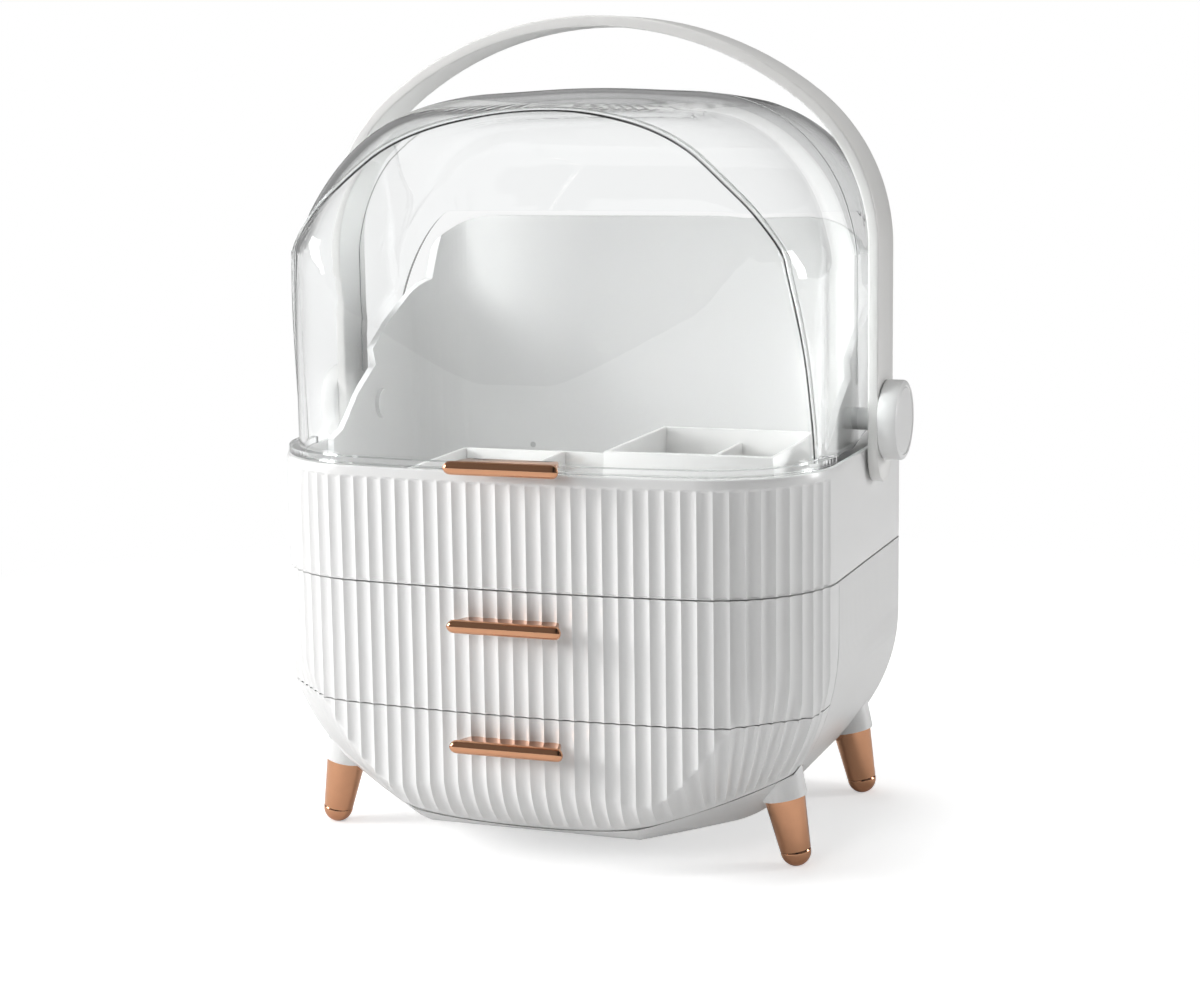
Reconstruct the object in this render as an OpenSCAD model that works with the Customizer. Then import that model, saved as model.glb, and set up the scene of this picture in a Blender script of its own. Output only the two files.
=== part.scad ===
// Dustproof makeup organizer: two drawers, open tray, tip-up clear lid, carrying handle
// Millimetres. Z is up, the front faces -Y, the ground is z = 0, x = 0 is the middle.

/* [Casing] */
// Half of the casing's width
half_w = 128; // [124:0.5:130]
// Y of the middle of the front
front_y = -86.5; // [-90:0.5:-84]
// Y of the back
back_y = 98.5; // [94:0.5:100]
// Radius of the bowed front, seen from above
bow_r = 840; // [600:10:1200]
// Radius of the front corners, seen from above
corner_r = 55; // [50:1:60]
// Radius of the rear corners, seen from above
rear_r = 14; // [10:1:20]
// Lowest point of the casing
base_z = 12; // [11:0.5:14]
// Wall thickness of casing, tray and drawer fronts
wall = 3; // [2:0.1:3.5]

/* [Levels] */
// Seam between the two drawers
seam2_z = 71; // [68:0.5:74]
// Seam under the tray
seam1_z = 126; // [123:0.5:129]
// Tray rim
rim_z = 177; // [175:0.5:178]
// Width of the seams
seam_gap = 0.6; // [0.4:0.1:1]

/* [Drawers] */
// How far a drawer slides out
drawer_travel = 115; // [80:5:120]
// Wall thickness of the drawer boxes
box_wall = 2; // [1.5:0.1:2.5]
// Half of the upper drawer box's width
box_half = 117; // [110:0.5:118]
// Half of the lower drawer box's width
low_half = 109; // [104:0.5:110]
// Gap between drawer fronts and casing
front_gap = 0.5; // [0.4:0.1:1]

/* [Pulls] */
// Width of a pull
pull_w = 52; // [46:1:60]
// Y of a pull's foremost face
pull_y = -98.5; // [-100:0.5:-96]
// Height of a pull's front bar
pull_h = 6; // [5:0.5:8]
// Thickness of a pull's plate
pull_t = 1.8; // [1.4:0.1:2.4]

/* [Pivots] */
// Y of the lid's and the handle's axis
pivot_y = 33; // [30:0.5:36]
// Z of the lid's and the handle's axis
pivot_z = 189; // [187:0.5:191]
// Radius of a pivot pin
pin_r = 5; // [4:0.25:6]
// Running clearance of a pin in its holes, on the radius
pin_gap = 0.08; // [0.05:0.01:0.1]
// Radius of a pivot disc
disc_r = 18; // [16:0.5:20]
// Half of the width across the discs
disc_x = 143; // [141:0.5:144]

/* [Lid] */
// Half of the lid's width
lid_half = 122.5; // [121.5:0.25:123]
// Wall thickness of the lid
lid_t = 2.4; // [2:0.1:3]
// Radius of the lid's rear corners, seen from above
lid_rear_r = 28; // [24:1:30]
// Radius of the lid's upper corners, seen from the front
lid_corner_r = 77; // [70:1:80]
// Height of the centres of those corners
lid_corner_z = 259; // [256:0.5:262]
// Gap between the lid's sill and the tray rim
sill_gap = 0.6; // [0.4:0.1:1]
// Thickness of the lid's sill
sill_t = 3; // [2.4:0.1:3.5]

/* [Rear shell] */
// Half of the shell's width
shell_half = 117.5; // [116:0.25:118]
// Top of the back wall
shell_top = 276; // [272:0.5:276]
// Radius of the shell's corners, seen from above
shell_r = 28; // [22:1:32]

/* [Handle] */
// Top of the handle
handle_top = 370; // [366:1:372]
// Outer half width of the handle's legs
handle_half = 134; // [133.5:0.25:135]
// Thickness of the handle's band
handle_t = 5; // [4:0.25:5]
// Width of the handle's band
handle_w = 28; // [24:1:30]
// Radius of the handle's upper corners
handle_r = 88; // [84:1:92]
// Height of the centres of those corners
handle_cz = 266; // [262:1:268]

/* [Feet] */
// X of a foot's tip
foot_x = 111; // [106:0.5:114]
// Y of the front feet
foot_front_y = -35; // [-38:0.5:-32]
// Y of the rear feet
foot_rear_y = 84; // [80:0.5:86]
// Radius of a foot's rounded tip
tip_r = 6.8; // [6.6:0.1:7.4]
// Radius of a leg at its collar
leg_r = 9; // [8:0.25:9.5]
// Outward splay of the legs, in degrees
splay = 11.8; // [8:0.2:14]

/* [Hidden] */
$fn = 64;
eps = 0.01;
white = [0.93, 0.93, 0.92];
clear = [0.9, 0.95, 0.97, 0.3];
gold = [0.8, 0.5, 0.36];

// plan outline: centre of the bow, of the front corners and their tangent points
bow_cy = front_y + bow_r;
corner_x = half_w - corner_r;
corner_y = bow_cy - sqrt(pow(bow_r - corner_r, 2) - pow(corner_x, 2));
bow_k = corner_x / (bow_r - corner_r);
// plane between the drawer fronts and the casing, just behind the corner arcs
split_y = corner_y + 2.1;
// front elevation: side arc, lower corner arc and crowned bottom
side_r = 110;
side_z = 100;
low_r = 29;
low_x = half_w - 48.18;
low_z = 47.66;
low_k = (side_z - low_z) / (low_x - half_w + side_r);
// diagonal rounding under the front corners: radius and centre, out along the diagonal
sweep_r = 104;
sweep_x = (corner_x - corner_y) * sqrt(0.5) + corner_r + 0.31 - sweep_r;
sweep_a = [3, 15, 27, 39, 51, 63];
crown_r = 510;
crown_k = low_x / (crown_r - low_r);
// arc under the lower drawer front, which the base pan fills
pan_z = 17;
pan_r = 256;
// lid seen from the side
top_cy = 35;
top_r = 408;
top_cz = -71;
face_r = 300;
face_cy = 219;
face_cz = 200;
edge_r = 34;
edge_fy = -28.5;
edge_fz = 297.6;
edge_ry = 64.5;
edge_rz = 301.8;
// handle seen from the front
handle_cx = handle_half - handle_r;
handle_k = handle_top - handle_cz;
handle_R = (pow(handle_cx, 2) + pow(handle_k, 2) - pow(handle_r, 2)) / (2 * (handle_k - handle_r));
floor_z = seam1_z + wall;

module box3(a, b) {
    translate(a) cube([b[0] - a[0], b[1] - a[1], b[2] - a[2]]);
}

module rect2(a, b) {
    translate(a) square([b[0] - a[0], b[1] - a[1]]);
}

// turns a y-z outline into a slab along x
module along_x(x0, x1) {
    translate([x0, 0, 0]) rotate([90, 0, 90]) linear_extrude(height = x1 - x0) children();
}

// turns an x-z outline into a slab along y
module along_y(y0, y1) {
    translate([0, y1, 0]) rotate([90, 0, 0]) linear_extrude(height = y1 - y0) children();
}

// outline seen from above, set in by o
module plan(o) {
    intersection() {
        translate([0, bow_cy]) circle(r = bow_r - o, $fn = 180);
        rect2([-bow_k * (bow_r - o), front_y - 5], [bow_k * (bow_r - o), corner_y + 1]);
    }
    for (s = [-1, 1])
        translate([s * corner_x, corner_y]) circle(r = corner_r - o);
    rect2([o - half_w, corner_y], [half_w - o, back_y - rear_r]);
    rect2([rear_r - half_w, corner_y], [half_w - rear_r, back_y - o]);
    for (s = [-1, 1])
        translate([s * (half_w - rear_r), back_y - rear_r]) circle(r = rear_r - o);
}

// outline seen from the front, set in by o
module u_front(o) {
    rect2([o - half_w, side_z], [half_w - o, rim_z + 5]);
    for (s = [0, 1])
        mirror([s, 0, 0])
            intersection() {
                translate([half_w - side_r, side_z]) circle(r = side_r - o, $fn = 120);
                polygon([[half_w - side_r, side_z], [half_w + 20, side_z],
                    [half_w + 20, side_z - (side_r + 20) * low_k]]);
            }
    rect2([side_r - half_w, side_z - 20], [half_w - side_r, side_z + 1]);
    for (s = [-1, 1])
        translate([s * low_x, low_z]) circle(r = low_r - o);
    intersection() {
        translate([0, base_z + crown_r]) circle(r = crown_r - o, $fn = 180);
        rect2([-crown_k * (crown_r - o), base_z - 1], [crown_k * (crown_r - o), side_z + 1]);
    }
}

// outline seen from the side, set in by o
module u_side(o) {
    rect2([front_y + o, base_z + 34], [back_y - o, rim_z + 5]);
    rect2([front_y + 34, base_z + o], [back_y - 20, rim_z]);
    rect2([front_y + 34, base_z + 20], [back_y - o, rim_z]);
    translate([front_y + 34, base_z + 34]) circle(r = 34 - o);
    translate([back_y - 20, base_z + 20]) circle(r = 20 - o);
}

// what the diagonal rounding takes off the two front corners, set in by o: flats on an arc
module corner_sweep(o) {
    for (s = [0, 1])
        mirror([s, 0, 0]) rotate([0, 0, -45])
            along_y(-260, 260)
                polygon(concat(
                    [for (a = sweep_a) [sweep_x + (sweep_r - o) * cos(a), side_z - (sweep_r - o) * sin(a)]],
                    [[sweep_x, -60], [260, -60], [260, side_z - (sweep_r - o) * sin(sweep_a[0])]]));
}

// the whole bowl-bottomed body, set in by o, between two heights
module body(o, z0, z1) {
    difference() {
        intersection() {
            translate([0, 0, z0]) linear_extrude(height = z1 - z0) plan(o);
            along_y(front_y - 5, back_y + 5) u_front(o);
            along_x(-half_w - 5, half_w + 5) u_side(o);
        }
        corner_sweep(o);
    }
}

// the fixed band below the lower drawer front, raised by g
module pan_arc(g) {
    along_y(front_y - 6, split_y)
        difference() {
            rect2([-half_w - 6, 0], [half_w + 6, 80]);
            translate([0, pan_z + pan_r + g]) circle(r = pan_r, $fn = 120);
        }
}

// the body's rear half alone, set in by o, from y0 back and up to z1
module rear_half(o, y0, z1) {
    intersection() {
        linear_extrude(height = z1) {
            rect2([o - half_w, y0 - 5], [half_w - o, back_y - rear_r]);
            rect2([rear_r - half_w, y0 - 5], [half_w - rear_r, back_y - o]);
            for (s = [-1, 1])
                translate([s * (half_w - rear_r), back_y - rear_r]) circle(r = rear_r - o);
        }
        along_y(y0, back_y + 5) u_front(o);
        along_x(-half_w - 5, half_w + 5) {
            rect2([y0 - 5, base_z - 1], [back_y - 20, rim_z]);
            rect2([y0 - 5, base_z + 20], [back_y - o, rim_z]);
            translate([back_y - 20, base_z + 20]) circle(r = 20 - o);
        }
    }
}

module lower_casing() {
    color(white)
    difference() {
        rear_half(0, split_y, seam1_z - seam_gap / 2);
        rear_half(wall, split_y - 1, seam1_z + 1);
    }
}

module base_pan() {
    color(white)
    difference() {
        intersection() {
            body(0, 0, seam2_z);
            pan_arc(0);
        }
        intersection() {
            body(wall, 0, seam2_z);
            box3([-70, front_y, 0], [70, split_y + 1, seam2_z]);
        }
    }
}

module mid_shelf() {
    color(white)
    intersection() {
        body(wall, seam2_z - 1.9, seam2_z + 0.1);
        box3([-half_w, split_y + 0.5, 60], [half_w, back_y, 80]);
    }
}

module drawer_runners() {
    color(white)
    for (s = [-1, 1])
        mirror([s < 0 ? 1 : 0, 0, 0])
            intersection() {
                body(wall, 80, seam1_z);
                box3([box_half + 0.6, split_y + 3, 84], [half_w, back_y - 6, 88]);
            }
}

module front_cut() {
    box3([-half_w - 1, front_y - 2, 0], [half_w + 1, split_y - front_gap, 200]);
}

module pull_tongue(z, g) {
    box3([-20.5 - g, front_y - 3, z - g], [20.5 + g, front_y + wall + 1, z + pull_t + g]);
}

// a pull with its plate's underside at z
module pull(z) {
    difference() {
        union() {
            box3([-pull_w / 2 + 1.5, pull_y + 2, z], [pull_w / 2 - 1.5, front_y + 2, z + pull_t]);
            translate([0, pull_y + 6.2, z + pull_t - pull_h / 2 + 0.8])
                rotate([0, 90, 0])
                    intersection() {
                        cylinder(r = 6.2, h = pull_w, center = true);
                        translate([-pull_h / 2, -7, -pull_w / 2]) cube([pull_h, 4, pull_w]);
                    }
        }
        body(0, 0, rim_z - 0.2);
    }
}

module drawer_upper_front() {
    color(white)
    difference() {
        intersection() {
            body(0, seam2_z + seam_gap / 2, seam1_z - seam_gap / 2);
            front_cut();
        }
        body(wall, seam2_z - 1, seam1_z + 1);
        pull_tongue(112, 0);
    }
}

module drawer_upper_box() {
    color(white)
    difference() {
        intersection() {
            translate([0, 0, seam2_z + 3]) linear_extrude(height = 46) plan(wall);
            box3([-box_half, front_y, 70], [box_half, back_y - 8, seam1_z]);
        }
        difference() {
            intersection() {
                translate([0, 0, seam2_z + 3 + box_wall]) linear_extrude(height = 60)
                    plan(wall + box_wall);
                box3([box_wall - box_half, front_y, 70],
                    [box_half - box_wall, back_y - 8 - box_wall, 150]);
            }
            corner_sweep(wall + box_wall);
        }
        corner_sweep(wall);
        pull_tongue(112, 0);
    }
}

module drawer_upper_pull() {
    color(gold) {
        pull(112);
        intersection() {
            pull_tongue(112, 0);
            body(0, 100, 120);
            box3([-40, front_y - 1, 100], [40, front_y + wall, 120]);
        }
    }
}

module drawer_lower_front() {
    color(white)
    difference() {
        intersection() {
            body(0, 5, seam2_z - seam_gap / 2);
            front_cut();
        }
        body(wall, 0, seam2_z + 1);
        pan_arc(0.5);
        pull_tongue(59, 0);
    }
}

// x-z section of the lower drawer box, set in by o
module low_section(o) {
    polygon([[o - low_half, 67 + o], [o - low_half, 50], [o - low_half + 7, 41], [o / 2 - 66, 28 + o],
        [66 - o / 2, 28 + o], [low_half - 7 - o, 41], [low_half - o, 50], [low_half - o, 67 + o]]);
}

module drawer_lower_box() {
    color(white)
    difference() {
        intersection() {
            along_y(front_y, back_y - 8) low_section(0);
            linear_extrude(height = 67) plan(wall);
            along_x(-half_w, half_w) u_side(wall);
        }
        difference() {
            intersection() {
                along_y(front_y, back_y - 8 - box_wall) low_section(box_wall);
                linear_extrude(height = 90) plan(wall + box_wall);
                along_x(-half_w, half_w) u_side(wall + box_wall);
            }
            corner_sweep(wall + box_wall);
        }
        corner_sweep(wall);
        pull_tongue(59, 0);
    }
}

module drawer_lower_pull() {
    color(gold) {
        pull(59);
        intersection() {
            pull_tongue(59, 0);
            body(0, 50, 70);
            box3([-40, front_y - 1, 50], [40, front_y + wall, 70]);
        }
    }
}

module top_tray() {
    color(white)
    difference() {
        translate([0, 0, seam1_z + seam_gap / 2])
            linear_extrude(height = rim_z - seam1_z - seam_gap / 2) plan(0);
        translate([0, 0, floor_z]) linear_extrude(height = 80) plan(wall - 0.5);
        for (x = [-60, 60])
            for (z = [142, 162])
                translate([x, back_y + 1, z]) rotate([90, 0, 0]) {
                    cylinder(r = 1.5, h = 8);
                    cylinder(r = 3, h = 2.2);
                }
    }
}

module shell_screws() {
    color(gold)
    for (x = [-60, 60])
        for (z = [142, 162])
            translate([x, back_y - 0.2, z]) rotate([90, 0, 0]) {
                cylinder(r = 1.5, h = 5);
                cylinder(r = 3, h = 1);
            }
}

module tray_divider_long() {
    color(white)
    box3([-66, -45, floor_z], [-64, 20, rim_z - 6]);
}

module tray_divider_cross() {
    color(white)
    box3([-64, 18, floor_z], [26, 20, rim_z - 6]);
}

module tray_divider_short() {
    color(white)
    box3([-16, -45, floor_z], [-14, 18, rim_z - 6]);
}

module compartment_insert() {
    color(white)
    difference() {
        box3([28, -46, floor_z + 0.2], [104, 36, 182]);
        box3([30, -44, floor_z + 2.2], [102, 34, 190]);
    }
}

module insert_divider() {
    color(white) {
        box3([65, -44, floor_z + 2.2], [67, 34, 176]);
        box3([30, -6, floor_z + 2.2], [65, -4, 176]);
        box3([67, -6, floor_z + 2.2], [102, -4, 176]);
    }
}

// plan of the shell's wall, set in by o
module shell_plan(o) {
    rect2([o - shell_half, -40], [shell_half - o, 96 - shell_r]);
    rect2([shell_r - shell_half, -40], [shell_half - shell_r, 96 - o]);
    for (s = [-1, 1])
        translate([s * (shell_half - shell_r), 96 - shell_r]) circle(r = shell_r - o);
}

module rear_shell() {
    color(white)
    difference() {
        intersection() {
            translate([0, 0, floor_z]) linear_extrude(height = shell_top - floor_z)
                difference() {
                    shell_plan(0);
                    shell_plan(wall);
                }
            along_x(-150, 150)
                polygon([[-22, 120], [-22, 179], [-12, 182], [8, 197], [24, 206], [28, 208], [25, 216],
                    [41, 226], [59, 234], [84, 245], [90, 280], [100, 280], [100, 120]]);
            along_y(-60, 100) {
                rect2([-shell_half, 120], [shell_half, shell_top - 38]);
                rect2([38 - shell_half, 120], [shell_half - 38, shell_top]);
                for (s = [-1, 1])
                    translate([s * (shell_half - 38), shell_top - 38]) circle(r = 38);
            }
        }
        translate([0, pivot_y, pivot_z]) rotate([0, 90, 0]) cylinder(r = pin_r, h = 300, center = true);
        for (x = [-60, 60])
            for (z = [142, 162])
                translate([x, back_y, z]) rotate([90, 0, 0]) cylinder(r = 1.5, h = 12);
    }
}

// a pin from the shell's ear out to the disc
module pivot_pin(s) {
    color(white)
    mirror([s < 0 ? 1 : 0, 0, 0])
        translate([shell_half - wall - 2, pivot_y, pivot_z]) rotate([0, 90, 0]) {
            cylinder(r = pin_r + 2, h = 2);
            cylinder(r = pin_r, h = disc_x - 2 - shell_half + wall);
        }
}

module pivot_pin_right() {
    pivot_pin(1);
}

module pivot_pin_left() {
    pivot_pin(-1);
}

module at_foot(sx, y) {
    translate([sx * foot_x, y, tip_r - 0.2]) rotate([0, -sx * splay, 0]) children();
}

module leg(sx, y) {
    color(gold)
    difference() {
        at_foot(sx, y) translate([0, 0, 0.5]) cylinder(r1 = tip_r, r2 = leg_r, h = 24);
        body(0, 0, 80);
    }
}

module leg_front_right() {
    leg(1, foot_front_y);
}

module leg_front_left() {
    leg(-1, foot_front_y);
}

module leg_rear_right() {
    leg(1, foot_rear_y);
}

module leg_rear_left() {
    leg(-1, foot_rear_y);
}

module leg_collars() {
    color(white)
    for (sx = [-1, 1])
        for (y = [foot_front_y, foot_rear_y])
            difference() {
                at_foot(sx, y) translate([0, 0, 24.5]) cylinder(r = leg_r + 1.2, h = 17);
                body(0, 0, 80);
            }
}

module leg_tips() {
    color(gold)
    for (sx = [-1, 1])
        for (y = [foot_front_y, foot_rear_y])
            intersection() {
                difference() {
                    translate([sx * foot_x, y, tip_r - 0.2]) sphere(r = tip_r);
                    at_foot(sx, y) translate([0, 0, 0.5]) cylinder(r = 12, h = 10);
                }
                box3([sx * foot_x - 10, y - 10, 0], [sx * foot_x + 10, y + 10, 20]);
            }
}

// lid seen from the front, set in by o
module lid_arch(o) {
    rect2([o - lid_half, 150], [lid_half - o, lid_corner_z]);
    rect2([lid_corner_r - lid_half, lid_corner_z - 1],
        [lid_half - lid_corner_r, lid_corner_z + lid_corner_r - o]);
    for (s = [-1, 1])
        translate([s * (lid_half - lid_corner_r), lid_corner_z]) circle(r = lid_corner_r - o);
}

// lid seen from the side, set in by o
module lid_side(o) {
    intersection() {
        translate([top_cy, top_cz]) circle(r = top_r - o, $fn = 180);
        polygon([[edge_fy, 200], [edge_fy, edge_fz], [-37, 348], [70, 348], [edge_ry, edge_rz],
            [edge_ry, 200]]);
    }
    intersection() {
        translate([face_cy, face_cz]) circle(r = face_r - o, $fn = 180);
        polygon([[-100, 150], [edge_fy + 1, 150], [edge_fy + 1, edge_fz], [edge_fy, edge_fz],
            [-76.6, 316.6], [-100, 326]]);
    }
    translate([edge_fy, edge_fz]) circle(r = edge_r - o);
    translate([edge_ry, edge_rz]) circle(r = edge_r - o);
    rect2([edge_fy, 150], [back_y - o, edge_rz]);
}

// everything nearer the pivot axis than the handle's underside, less o
module sweep_limit(o) {
    translate([0, pivot_y, pivot_z]) rotate([0, 90, 0])
        rotate_extrude($fn = 120)
            intersection() {
                rotate([0, 0, -90]) translate([0, -pivot_z]) handle_outline(handle_t + 2.5 + o);
                rect2([0, -150], [200, 150]);
            }
}

// the lid's outline seen from above, set in by o
module lid_plan(o) {
    intersection() {
        plan(half_w - lid_half + o);
        rect2([-half_w, front_y], [half_w, 60]);
    }
    rect2([o - lid_half, 50], [lid_half - o, back_y - lid_rear_r]);
    rect2([lid_rear_r - lid_half, 50], [lid_half - lid_rear_r, back_y - o]);
    for (s = [-1, 1])
        translate([s * (lid_half - lid_rear_r), back_y - lid_rear_r]) circle(r = lid_rear_r - o);
}

module lid_shape(o) {
    intersection() {
        translate([0, 0, 170]) linear_extrude(height = 180) lid_plan(o);
        along_y(-120, 120) lid_arch(o);
        along_x(-150, 150) lid_side(o);
        sweep_limit(o);
    }
}

module lid_dome() {
    color(clear)
    difference() {
        lid_shape(0);
        lid_shape(lid_t);
        // open below, behind the pivots and under the rear edge
        along_x(-150, 150)
            polygon([[-120, 100], [-120, rim_z + sill_gap], [pivot_y - 22, rim_z + sill_gap],
                [pivot_y - 14, pivot_z - 12], [pivot_y + 16, pivot_z - 6], [pivot_y + 19, pivot_z + 5],
                [96.1, 278], [130, 278], [130, 100]]);
        translate([0, pivot_y, pivot_z]) rotate([0, 90, 0])
            cylinder(r = pin_r + pin_gap, h = 300, center = true);
    }
}

module lid_sill() {
    color(clear)
    translate([0, 0, rim_z + sill_gap])
        difference() {
            linear_extrude(height = sill_t)
                difference() {
                    intersection() {
                        plan(1);
                        rect2([-half_w, front_y - 1], [half_w, split_y]);
                    }
                    plan(half_w - lid_half);
                }
        }
}

module lid_pull() {
    color(gold)
    translate([0, 0, rim_z + sill_gap + sill_t]) {
        difference() {
            box3([-pull_w / 2 + 1.5, pull_y + 2, 0], [pull_w / 2 - 1.5, front_y + 5, pull_t]);
            translate([0, 0, -5]) linear_extrude(height = 10) plan(half_w - lid_half);
            for (s = [-1, 1])
                translate([s * 21, front_y + 4, -1]) cylinder(r = 1.5, h = 4);
        }
        translate([0, pull_y + 6.2, pull_t - pull_h / 2 + 0.8])
            rotate([0, 90, 0])
                intersection() {
                    cylinder(r = 6.2, h = pull_w, center = true);
                    translate([-pull_h / 2, -7, -pull_w / 2]) cube([pull_h, 4, pull_w]);
                }
    }
}

// the handle's arch seen from the front, set in by o, filled down to the pivots
module handle_outline(o) {
    rect2([o - handle_half, 100], [handle_half - o, handle_cz]);
    for (s = [-1, 1])
        translate([s * handle_cx, handle_cz]) circle(r = handle_r - o);
    intersection() {
        translate([0, handle_top - handle_R]) circle(r = handle_R - o, $fn = 180);
        polygon([[0, handle_top - handle_R],
            [handle_cx * 3, handle_top - handle_R + 3 * (handle_cz - handle_top + handle_R)],
            [-handle_cx * 3, handle_top - handle_R + 3 * (handle_cz - handle_top + handle_R)]]);
    }
}

module handle_bail() {
    color(white)
    difference() {
        intersection() {
            along_y(pivot_y - handle_w / 2, pivot_y + handle_w / 2)
                difference() {
                    handle_outline(0);
                    handle_outline(handle_t);
                }
            along_x(-150, 150) {
                rect2([pivot_y - 50, pivot_z - 14], [pivot_y + 50, 400]);
                translate([pivot_y, pivot_z - 14]) circle(r = handle_w / 2);
            }
        }
        translate([0, pivot_y, pivot_z]) rotate([0, 90, 0])
            cylinder(r = pin_r + pin_gap, h = 300, center = true);
    }
}

module handle_disc(s) {
    color(white)
    mirror([s < 0 ? 1 : 0, 0, 0])
        difference() {
            translate([handle_half, pivot_y, pivot_z]) rotate([0, 90, 0])
                cylinder(r = disc_r, h = disc_x - handle_half);
            translate([handle_half - 1, pivot_y, pivot_z]) rotate([0, 90, 0])
                cylinder(r = pin_r + pin_gap, h = disc_x - handle_half - 0.9);
        }
}

module handle_disc_right() {
    handle_disc(1);
}

module handle_disc_left() {
    handle_disc(-1);
}

lower_casing();
base_pan();
mid_shelf();
drawer_runners();
top_tray();
tray_divider_long();
tray_divider_cross();
tray_divider_short();
rear_shell();
shell_screws();
pivot_pin_right();
pivot_pin_left();
leg_collars();
leg_front_right();
leg_front_left();
leg_rear_right();
leg_rear_left();
leg_tips();
compartment_insert();
insert_divider();
drawer_upper_front();
drawer_upper_box();
drawer_upper_pull();
drawer_lower_front();
drawer_lower_box();
drawer_lower_pull();
lid_dome();
lid_sill();
lid_pull();
handle_bail();
handle_disc_right();
handle_disc_left();
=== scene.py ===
"""Looks of the dustproof makeup organizer: fluted white casing, clear tip-up lid, rose-gold pulls and feet."""

import math

import bmesh
import bpy
import numpy as np
from mathutils import Euler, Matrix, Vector


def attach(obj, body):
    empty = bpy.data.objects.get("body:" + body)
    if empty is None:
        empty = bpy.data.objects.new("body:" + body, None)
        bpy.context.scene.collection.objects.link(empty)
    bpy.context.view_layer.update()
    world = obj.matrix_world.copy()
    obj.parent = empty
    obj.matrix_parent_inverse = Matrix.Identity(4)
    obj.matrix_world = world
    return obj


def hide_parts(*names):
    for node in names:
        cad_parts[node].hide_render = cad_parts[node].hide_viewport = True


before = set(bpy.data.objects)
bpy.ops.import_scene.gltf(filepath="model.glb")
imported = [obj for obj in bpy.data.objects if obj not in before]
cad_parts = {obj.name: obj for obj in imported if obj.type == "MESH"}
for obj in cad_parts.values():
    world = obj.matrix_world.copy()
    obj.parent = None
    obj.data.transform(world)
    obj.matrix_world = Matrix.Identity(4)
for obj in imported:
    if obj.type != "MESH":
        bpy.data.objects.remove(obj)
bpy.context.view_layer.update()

MM = 0.001

# Driving sizes, in millimetres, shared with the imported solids
HALF_W = 128.0
FRONT_Y = -86.5
BACK_Y = 98.5
BOW_R = 840.0
CORNER_R = 55.0
REAR_R = 14.0
BASE_Z = 12.0
SEAM2_Z = 71.0
SEAM1_Z = 126.0
RIM_Z = 177.0
HALF_GAP = 0.3
WALL = 3.0
PIVOT = (33.0, 189.0)

# The plan outline: a bowed front, two round front corners and straight sides
BOW_CY = FRONT_Y + BOW_R
CORNER_X = HALF_W - CORNER_R
CORNER_Y = BOW_CY - math.sqrt((BOW_R - CORNER_R) ** 2 - CORNER_X**2)
BOW_ANGLE = math.asin(CORNER_X / (BOW_R - CORNER_R))
BOW_ARC = BOW_R * BOW_ANGLE
CORNER_ARC = CORNER_R * (math.pi / 2 - BOW_ANGLE)
SIDE_ARC = BOW_ARC + CORNER_ARC
REAR_END = SIDE_ARC + (BACK_Y - REAR_R - CORNER_Y) + REAR_R * math.pi / 2 + (HALF_W - REAR_R)
SPLIT_Y = CORNER_Y + 2.1
DRAWER_END = SIDE_ARC + (SPLIT_Y - 0.5 - CORNER_Y)

# The underside: arcs seen from the front (from x, centre x, centre z, radius), the front's rounding seen from the
# side, the diagonal sweep under the front corners, and the arc where the lower drawer meets the fixed pan
UNDERSIDE_ARCS = ((101.95, 18.0, 100.0, 110.0), (84.66, 79.82, 47.66, 29.0), (-1.0, 0.0, BASE_Z + 510.0, 510.0))
FRONT_ROUND = 34.0
SWEEP_R = 104.0
SWEEP_CZ = 100.0
SWEEP_X = (CORNER_X - CORNER_Y) * math.sqrt(0.5) + CORNER_R + 0.31 - SWEEP_R
UNDER_BLEND = 3.0
UNDER_BLEND_TOP = 98.0
UNDER_BLEND_FADE = 12.0
PAN_LOW = 17.0
PAN_R = 256.0
PAN_GAP = 0.5

# Fluting: hollows side by side from one front corner to the other
FLUTES_A_SIDE = 22
FLUTE_DEPTH = 1.05
FLUTE_STEPS = 8
FLUTE_END = BOW_ARC + CORNER_R * (math.radians(80) - BOW_ANGLE)
PITCH = FLUTE_END / FLUTES_A_SIDE
WALL_STEP = 0.25
WALL_STEPS = 240
INNER_RISE = 2.6

# Faces of a solid's copy that meet flatter than this, in degrees, are joined
FLAT_DEGREES = 0.4


# ---------------------------------------------------------------- materials
def new_material(name):
    material = bpy.data.materials.new(name)
    material.use_nodes = True
    nodes = material.node_tree.nodes
    return material, nodes, material.node_tree.links, nodes["Principled BSDF"]


def add_bump(nodes, links, shader, scale, strength, distance, detail=3.0):
    """A fine moulded unevenness, on the piece's own coordinates."""
    place = nodes.new("ShaderNodeTexCoord")
    noise = nodes.new("ShaderNodeTexNoise")
    noise.inputs["Scale"].default_value = scale
    noise.inputs["Detail"].default_value = detail
    bump = nodes.new("ShaderNodeBump")
    bump.inputs["Strength"].default_value = strength
    bump.inputs["Distance"].default_value = distance
    links.new(place.outputs["Object"], noise.inputs["Vector"])
    links.new(noise.outputs["Fac"], bump.inputs["Height"])
    links.new(bump.outputs["Normal"], shader.inputs["Normal"])
    return noise


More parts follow.
